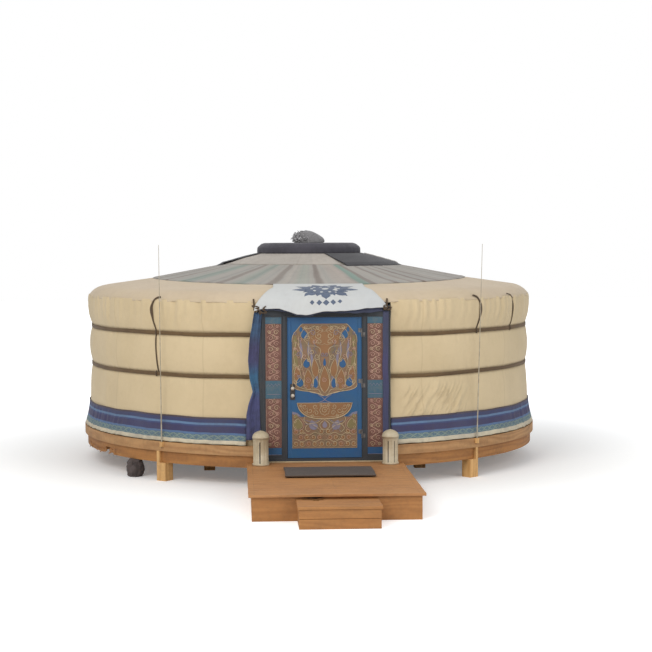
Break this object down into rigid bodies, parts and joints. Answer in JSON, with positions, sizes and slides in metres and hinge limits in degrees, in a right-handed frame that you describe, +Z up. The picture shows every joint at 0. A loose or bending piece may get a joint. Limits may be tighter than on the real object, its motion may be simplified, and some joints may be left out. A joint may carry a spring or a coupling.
{
  "type": "yurt on a timber platform",
  "caption": "Round felt tent with a lattice wall, a low roof with a covered crown, and a painted door, on a post platform with a porch and a step. The door leaf swings out.",
  "frame": {"origin": "on the ground on the round wall's axis, at the foot of the middle post under the floor", "axes": "+Z up, the door faces -Y, +X to the right of someone who looks at the door"},
  "size_m": [6.57, 9.404, 3.291],
  "materials": {
    "deck_pine": "rough",
    "rim_pine": "rough",
    "floor_pine": "satin",
    "porch_pine": "satin",
    "pier_stone": "rough",
    "wall_canvas": "matt",
    "eave_canvas": "matt",
    "roof_canvas": "matt",
    "collar_canvas": "matt",
    "crown_cloth": "matt",
    "knot_cloth": "matt",
    "band_webbing": "matt",
    "strap_webbing": "matt",
    "skirt_cloth": "matt",
    "border_cloth": "matt",
    "canopy_cloth": "matt",
    "lath_willow": "satin",
    "pole_paint": "satin",
    "frame_paint": "satin",
    "rail_paint": "satin",
    "leaf_paint": "satin",
    "panel_paint": "satin",
    "side_panel_paint": "satin",
    "knob_enamel": "satin",
    "hinge_steel": "satin",
    "bollard_enamel": "satin",
    "mat_fibre": "matt",
    "side_pole_wood": "rough"
  },
  "bodies": {
    "yurt": {"bollard_caps": "bollard_enamel", "bollards": "bollard_enamel", "collar": "collar_canvas", "crown_cover": "crown_cloth", "crown_flap": "crown_cloth", "crown_knot": "knot_cloth", "crown_ring": "pole_paint", "crown_spokes": "pole_paint", "deck_bearers": "deck_pine", "deck_joists": "deck_pine", "deck_posts": "deck_pine", "door_borders": "border_cloth", "door_canopy": "canopy_cloth", "door_frame": "frame_paint", "doormat": "mat_fibre", "eave_cover": "eave_canvas", "floor": "floor_pine", "frame_hinges": "hinge_steel", "inner_posts": "deck_pine", "lattice_back": "lath_willow", "lattice_left": "lath_willow", "lattice_right": "lath_willow", "lower_band": "band_webbing", "lower_rim": "rim_pine", "pillars": "pole_paint", "pole_sockets": "deck_pine", "porch_boards": "porch_pine", "porch_frame": "deck_pine", "porch_panels": "porch_pine", "roof_cover": "roof_canvas", "roof_poles_back": "pole_paint", "roof_poles_front": "pole_paint", "side_poles": "side_pole_wood", "sidelight_panels": "side_panel_paint", "sidelight_rails": "rail_paint", "skirt": "skirt_cloth", "step_box": "porch_pine", "step_tread": "porch_pine", "stone_pier": "pier_stone", "upper_band": "band_webbing", "upper_rim": "rim_pine", "wall_cover_1": "wall_canvas", "wall_cover_2": "wall_canvas", "wall_cover_3": "wall_canvas", "wall_cover_4": "wall_canvas", "wall_cover_5": "wall_canvas", "wall_cover_6": "wall_canvas", "wall_cover_7": "wall_canvas", "wall_cover_8": "wall_canvas", "wall_straps": "strap_webbing"},
    "door": {"door_leaf": "leaf_paint", "door_panels": "panel_paint", "door_knobs": "knob_enamel", "leaf_hinges": "hinge_steel"}
  },
  "joints": [
    {"name": "door_hinge", "type": "hinge", "parent": "yurt", "child": "door", "pos_m": [0.5285, -3.13, 0.362], "axis": [0, 0, 1], "range_deg": [0, 105]}
  ]
}
